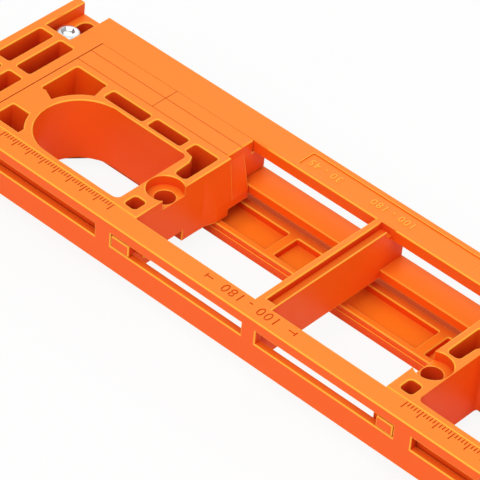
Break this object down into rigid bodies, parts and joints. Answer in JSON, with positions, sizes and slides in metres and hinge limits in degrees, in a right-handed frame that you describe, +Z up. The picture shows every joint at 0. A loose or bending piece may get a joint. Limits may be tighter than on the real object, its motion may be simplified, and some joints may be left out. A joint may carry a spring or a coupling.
{
  "type": "hinge router template",
  "caption": "Long plastic routing frame with sliding cutter plates, a grooved crossbar and a width fence clamped below it by screws at the ends, for cutting hinge recesses in doors.",
  "frame": {"origin": "middle of the bottom of the object's box, level with the underside of the width fence", "axes": "+X along the frame, from the left slider to the right one; +Y from the near rail with the windows to the far rail; +Z up, out of the face that the router runs on"},
  "size_m": [0.239, 0.062, 0.023],
  "materials": {
    "orange_plastic": "satin moulded orange plastic",
    "steel": "bright zinc plated steel"
  },
  "bodies": {
    "frame": {"frame": "orange_plastic"},
    "slider_left": {"slider_left": "orange_plastic"},
    "slider_right": {"slider_right": "orange_plastic"},
    "fence": {"width_fence": "orange_plastic", "fence_screw_left": "steel", "fence_screw_right": "steel", "fence_nut_left": "steel", "fence_nut_right": "steel"}
  },
  "joints": [
    {"name": "slider_left_slide", "type": "slide", "parent": "frame", "child": "slider_left", "axis": [1, 0, 0], "range_m": [0, 0.0343]},
    {"name": "slider_right_slide", "type": "slide", "parent": "frame", "child": "slider_right", "axis": [-1, 0, 0], "range_m": [0, 0.0355]},
    {"name": "fence_slide", "type": "slide", "parent": "frame", "child": "fence", "axis": [0, 1, 0], "range_m": [0, 0.0072]}
  ]
}
